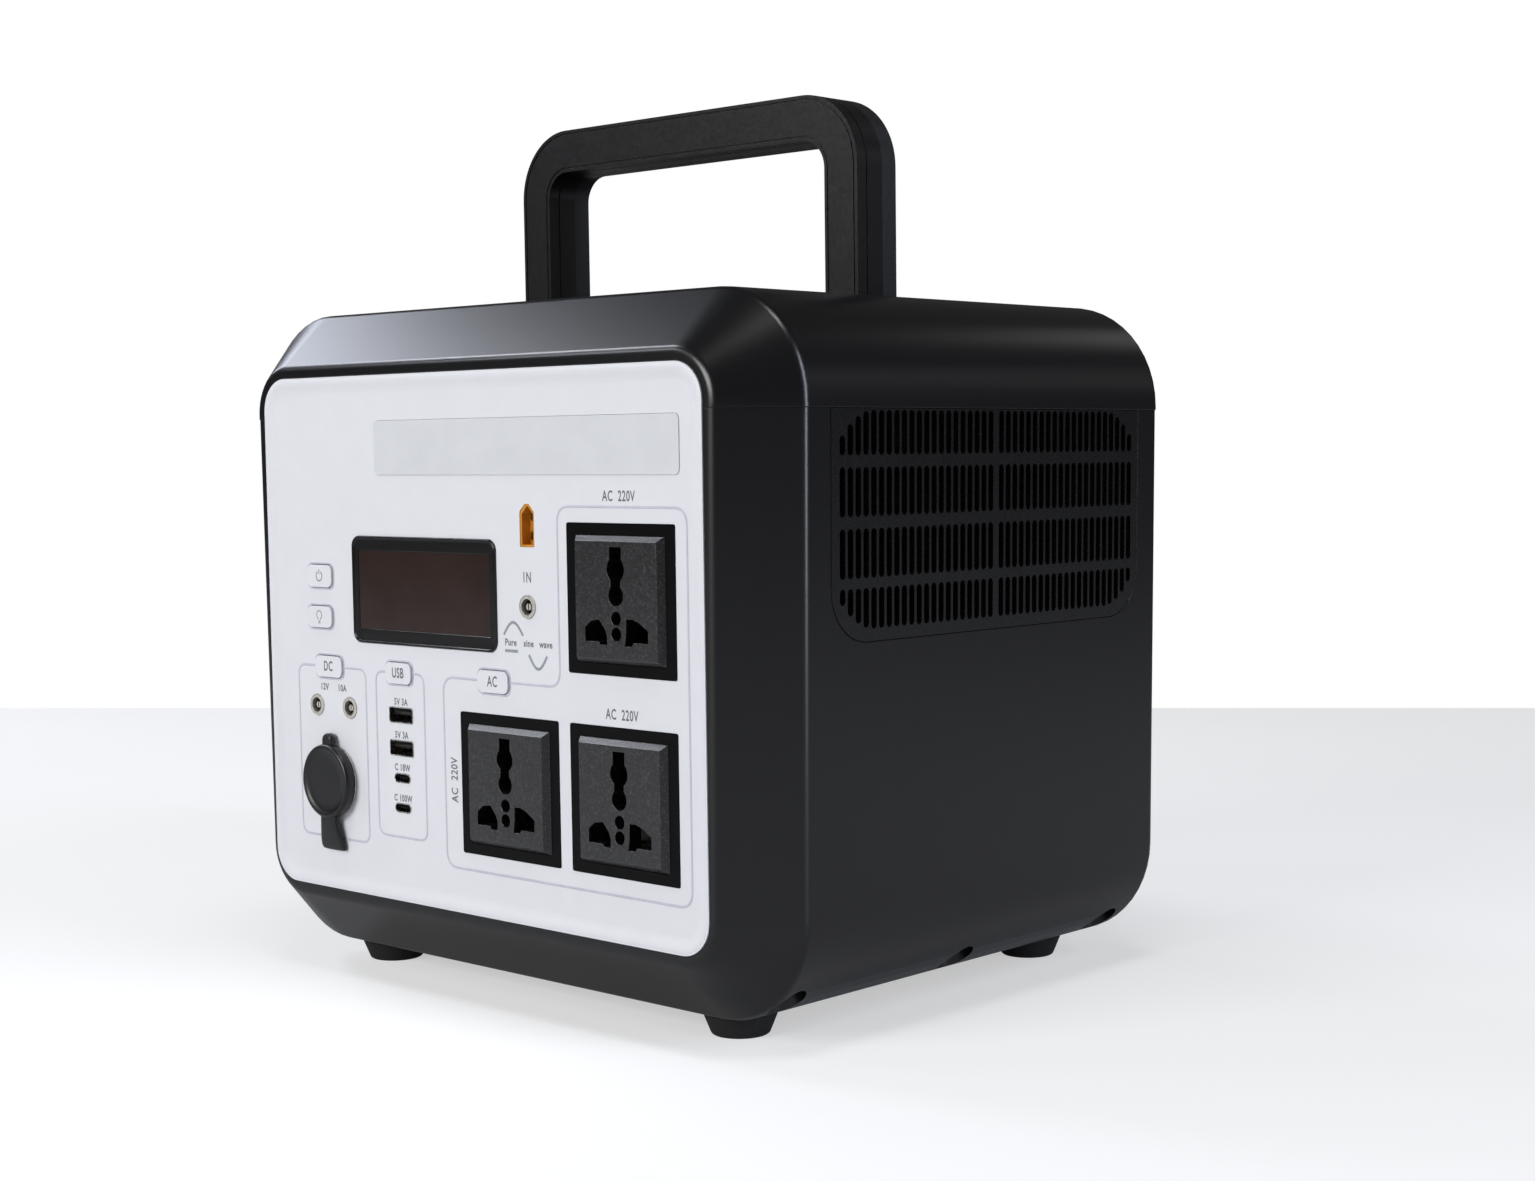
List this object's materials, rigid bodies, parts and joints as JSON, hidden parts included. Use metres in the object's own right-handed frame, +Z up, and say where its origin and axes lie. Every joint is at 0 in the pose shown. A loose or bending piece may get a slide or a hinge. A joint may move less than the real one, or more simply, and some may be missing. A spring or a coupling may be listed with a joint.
{
  "type": "portable power station",
  "caption": "Boxy battery power station with chamfered black case, white socket panel, push buttons, display, top handle, side vents and rubber feet.",
  "frame": {"origin": "on the ground under the middle of the case", "axes": "+Z up, front panel faces -Y, +X to the right seen from the front"},
  "size_m": [0.276, 0.2335, 0.3132],
  "materials": {
    "case_black": "satin",
    "handle_black": "satin",
    "panel_white": "matte",
    "outlet_black": "grained",
    "diffuser": "frosted",
    "display_black": "gloss",
    "display_window": "gloss",
    "circuit_board": "satin",
    "board_blue": "satin",
    "board_white": "satin",
    "black_plastic": "satin",
    "white_plastic": "satin",
    "nickel": "satin",
    "brass": "satin",
    "orange": "satin",
    "cap_rubber": "matte",
    "foot_rubber": "matte",
    "screw_steel": "satin",
    "sheet_steel": "satin",
    "cell_sleeve": "satin",
    "aluminium": "satin",
    "core": "matte",
    "copper": "satin",
    "cable_red": "matte"
  },
  "bodies": {
    "case": {"upper_shell": "case_black", "lower_shell": "case_black", "front_panel": "panel_white", "rear_panel": "case_black", "vent_grille_right": "case_black", "vent_grille_left": "case_black", "handle_front_shell": "handle_black", "handle_rear_shell": "handle_black", "handle_screws": "screw_steel", "rubber_feet": "foot_rubber", "foot_screws": "screw_steel", "case_screws": "screw_steel", "panel_screws": "screw_steel", "light_diffuser": "diffuser", "led_board": "board_white", "lcd_bezel": "display_black", "lcd_window": "display_window", "lcd_module": "display_black", "tact_switches": "black_plastic", "control_board": "circuit_board", "ac_frames": "outlet_black", "ac_blocks": "outlet_black", "ac_contacts": "brass", "usb_a_shells": "nickel", "usb_a_tongues": "white_plastic", "usb_c_shells": "nickel", "usb_c_tongues": "black_plastic", "usb_board": "circuit_board", "dc_jacks": "nickel", "dc_jack_pins": "nickel", "xt_housing": "orange", "xt_contacts": "brass", "car_socket": "nickel", "car_socket_contact": "brass", "cap_anchor": "cap_rubber", "chassis_plate": "sheet_steel", "battery_cells": "cell_sleeve", "cell_holders": "black_plastic", "cell_strips": "nickel", "battery_bracket": "sheet_steel", "bms_board": "board_blue", "inverter_board": "circuit_board", "heatsinks": "aluminium", "transformer": "core", "inductors": "copper", "capacitors": "aluminium", "fan_frames": "black_plastic", "fan_screws": "screw_steel", "main_cables": "cable_red"},
    "power_button": {"power_button": "panel_white"},
    "light_button": {"light_button": "panel_white"},
    "dc_button": {"dc_button": "panel_white"},
    "usb_button": {"usb_button": "panel_white"},
    "ac_button": {"ac_button": "panel_white"},
    "socket_cap": {"socket_cap": "cap_rubber"},
    "fan_rotor_front": {"fan_rotor_front": "black_plastic"},
    "fan_rotor_rear": {"fan_rotor_rear": "black_plastic"}
  },
  "joints": [
    {"name": "power_button_press", "type": "slide", "parent": "case", "child": "power_button", "axis": [0, 1, 0], "range_m": [0, 0.0008], "stiffness_N_per_m": 400},
    {"name": "light_button_press", "type": "slide", "parent": "case", "child": "light_button", "axis": [0, 1, 0], "range_m": [0, 0.0008], "stiffness_N_per_m": 400},
    {"name": "dc_button_press", "type": "slide", "parent": "case", "child": "dc_button", "axis": [0, 1, 0], "range_m": [0, 0.0008], "stiffness_N_per_m": 400},
    {"name": "usb_button_press", "type": "slide", "parent": "case", "child": "usb_button", "axis": [0, 1, 0], "range_m": [0, 0.0008], "stiffness_N_per_m": 400},
    {"name": "ac_button_press", "type": "slide", "parent": "case", "child": "ac_button", "axis": [0, 1, 0], "range_m": [0, 0.0008], "stiffness_N_per_m": 400},
    {"name": "socket_cap_hinge", "type": "hinge", "parent": "case", "child": "socket_cap", "pos_m": [-0.0775, -0.1176, 0.05235], "axis": [1, 0, 0], "range_deg": [0, 120]},
    {"name": "fan_front_spin", "type": "hinge", "parent": "case", "child": "fan_rotor_front", "pos_m": [0.1195, -0.042, 0.1727], "axis": [1, 0, 0], "continuous": true},
    {"name": "fan_rear_spin", "type": "hinge", "parent": "case", "child": "fan_rotor_rear", "pos_m": [0.1195, 0.042, 0.1727], "axis": [1, 0, 0], "continuous": true}
  ]
}
